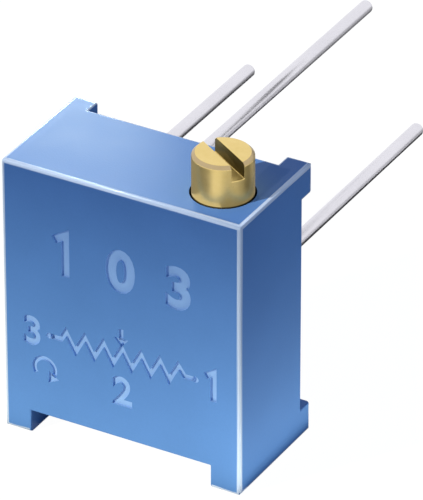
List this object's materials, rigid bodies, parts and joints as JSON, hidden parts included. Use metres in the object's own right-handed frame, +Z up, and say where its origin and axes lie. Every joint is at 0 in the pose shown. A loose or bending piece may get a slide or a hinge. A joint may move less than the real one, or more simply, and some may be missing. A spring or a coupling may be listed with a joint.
{
  "type": "trimmer potentiometer",
  "caption": "Square multi-turn trimmer potentiometer with a slotted brass adjustment screw on top and three straight leads at the back, for lying on a board.",
  "frame": {"origin": "under the middle of the whole part, leads included, on the plane of the feet", "axes": "+Z up along the adjustment screw, -Y out of the marked front face, +Y along the leads, +X to the right seen from the front"},
  "size_m": [0.0096, 0.0172, 0.0125],
  "materials": {
    "case_plastic": "matt moulded blue thermoplastic",
    "screw_brass": "turned bright brass",
    "seal_rubber": "soft black rubber",
    "spring_steel": "stamped steel, plain",
    "wheel_plastic": "natural acetal, slightly waxy",
    "wiper_alloy": "pale precious-metal spring sheet",
    "ceramic": "white fired alumina, matt",
    "track_film": "fired dark resistive film",
    "conductor_film": "fired silver-palladium film",
    "lead_tin": "bright solder-plated copper wire",
    "solder": "smooth bright solder",
    "potting": "cured blue resin, slightly glossy"
  },
  "bodies": {
    "case": {"housing": "case_plastic", "screw_retainer": "spring_steel", "ceramic_base": "ceramic", "resistive_track": "track_film", "collector_pad": "conductor_film", "end_pad_1": "conductor_film", "end_pad_3": "conductor_film", "terminal_pin_1": "lead_tin", "terminal_pin_2": "lead_tin", "terminal_pin_3": "lead_tin", "solder_joint_1": "solder", "solder_joint_2": "solder", "solder_joint_3": "solder", "potting_seal": "potting"},
    "screw": {"adjustment_screw": "screw_brass", "screw_seal_ring": "seal_rubber"},
    "rotor": {"worm_wheel": "wheel_plastic", "wiper_contact": "wiper_alloy"}
  },
  "joints": [
    {"name": "screw_turn", "type": "hinge", "parent": "case", "child": "screw", "pos_m": [0.00307, -0.0068, 0], "axis": [0, 0, 1], "range_deg": [-4500, 4500]},
    {"name": "wheel_turn", "type": "hinge", "parent": "case", "child": "rotor", "pos_m": [-0.00078, -0.0068, 0.0059], "axis": [0, 1, 0], "range_deg": [-136.36, 136.36]}
  ],
  "couplings": [
    {"joint": "wheel_turn", "follows": "screw_turn", "ratio": -0.030303}
  ]
}
